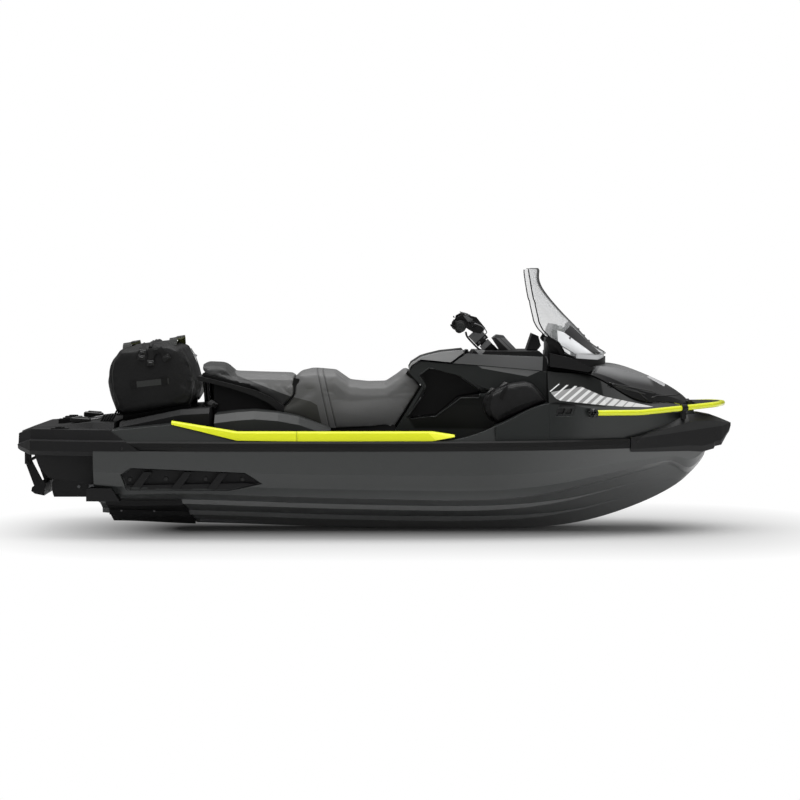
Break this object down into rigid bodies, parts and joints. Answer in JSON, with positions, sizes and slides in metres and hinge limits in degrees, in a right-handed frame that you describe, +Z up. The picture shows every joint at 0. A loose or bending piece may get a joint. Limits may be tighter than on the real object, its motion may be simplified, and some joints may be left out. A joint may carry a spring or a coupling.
{
  "type": "personal watercraft",
  "caption": "Three-seat touring personal watercraft with vee hull, jet drive, front lid with windshield, swim platform and soft luggage.",
  "frame": {"origin": "on the waterline, on the centre plane, near mid length", "axes": "+X to the bow, +Y to port, +Z up"},
  "size_m": [3.638, 1.275, 1.3506],
  "materials": {
    "hull_gelcoat": "satin moulded gelcoat",
    "deck_plastic": "grained black plastic",
    "rubber_trim": "matte rubber",
    "bright_trim": "bright yellow-green",
    "bright_tube": "bright yellow-green paint",
    "seat_vinyl": "stitched grey marine vinyl",
    "panel_grey": "satin metallic grey",
    "screen_clear": "clear smoked screen",
    "bag_fabric": "coated dry-bag fabric",
    "case_shell": "semi-rigid moulded case",
    "cast_metal": "cast and anodised",
    "steel": "stainless",
    "engine_block": "plain block",
    "grip_rubber": "ribbed rubber",
    "mat_foam": "grooved traction mat"
  },
  "bodies": {
    "craft": {"hull": "hull_gelcoat", "engine": "engine_block", "jet_pump": "cast_metal", "ride_plate": "deck_plastic", "intake_grate": "cast_metal", "transom_corners": "deck_plastic", "sponsons": "deck_plastic", "stern_deck": "hull_gelcoat", "gunwales": "hull_gelcoat", "fenders": "hull_gelcoat", "front_deck": "hull_gelcoat", "pedestal": "deck_plastic", "console": "hull_gelcoat", "console_cap": "deck_plastic", "console_panels": "panel_grey", "display": "deck_plastic", "steering_cowl": "deck_plastic", "footwell_mats": "mat_foam", "rub_rails": "rubber_trim", "footwell_trims": "bright_trim", "seat_front": "seat_vinyl", "seat_rear": "seat_vinyl", "side_covers": "deck_plastic", "grab_rail": "deck_plastic", "rear_hatch": "deck_plastic", "swim_platform": "deck_plastic", "accessory_mounts": "deck_plastic", "cargo_bag": "bag_fabric", "bag_rails": "deck_plastic", "bow_bumper": "deck_plastic", "bow_rail": "bright_tube", "bow_rail_mounts": "deck_plastic", "bow_tray": "deck_plastic", "saddle_bags": "case_shell"},
    "handlebars": {"steering_riser": "panel_grey", "handlebar": "cast_metal", "grips": "grip_rubber", "handlebar_pad": "deck_plastic", "control_pods": "deck_plastic", "levers": "cast_metal"},
    "front_lid": {"hood": "deck_plastic", "windshield_base": "deck_plastic", "windshield": "screen_clear", "windshield_bracket": "deck_plastic", "mirror_pods": "deck_plastic"},
    "glovebox": {"glovebox_lid": "deck_plastic"},
    "nozzle": {"steering_nozzle": "cast_metal"},
    "gate": {"reverse_gate": "deck_plastic"},
    "rotor": {"impeller": "steel"},
    "ladder": {"boarding_ladder": "deck_plastic"}
  },
  "joints": [
    {"name": "steering", "type": "hinge", "parent": "craft", "child": "handlebars", "pos_m": [0.59, 0, 0.68], "axis": [-0.682, 0, 0.7314], "range_deg": [-22, 22]},
    {"name": "nozzle_steer", "type": "hinge", "parent": "craft", "child": "nozzle", "pos_m": [-1.44, 0, -0.022], "axis": [0, 0, 1], "range_deg": [-18, 18]},
    {"name": "reverse_gate_drop", "type": "hinge", "parent": "craft", "child": "gate", "pos_m": [-1.53, 0, -0.025], "axis": [0, -1, 0], "range_deg": [0, 50]},
    {"name": "impeller_spin", "type": "hinge", "parent": "craft", "child": "rotor", "pos_m": [-1.11, 0, -0.022], "axis": [1, 0, 0], "continuous": true},
    {"name": "ladder_fold", "type": "hinge", "parent": "craft", "child": "ladder", "pos_m": [-1.782, 0, 0.112], "axis": [0, 1, 0], "range_deg": [0, 60]},
    {"name": "glovebox_open", "type": "hinge", "parent": "craft", "child": "glovebox", "pos_m": [0.47, 0, 0.67], "axis": [0, 1, 0], "range_deg": [0, 38]},
    {"name": "front_lid_open", "type": "hinge", "parent": "craft", "child": "front_lid", "pos_m": [1.625, 0, 0.412], "axis": [0, 1, 0], "range_deg": [0, 50]}
  ],
  "couplings": [
    {"joint": "nozzle_steer", "follows": "steering", "ratio": -0.8}
  ]
}
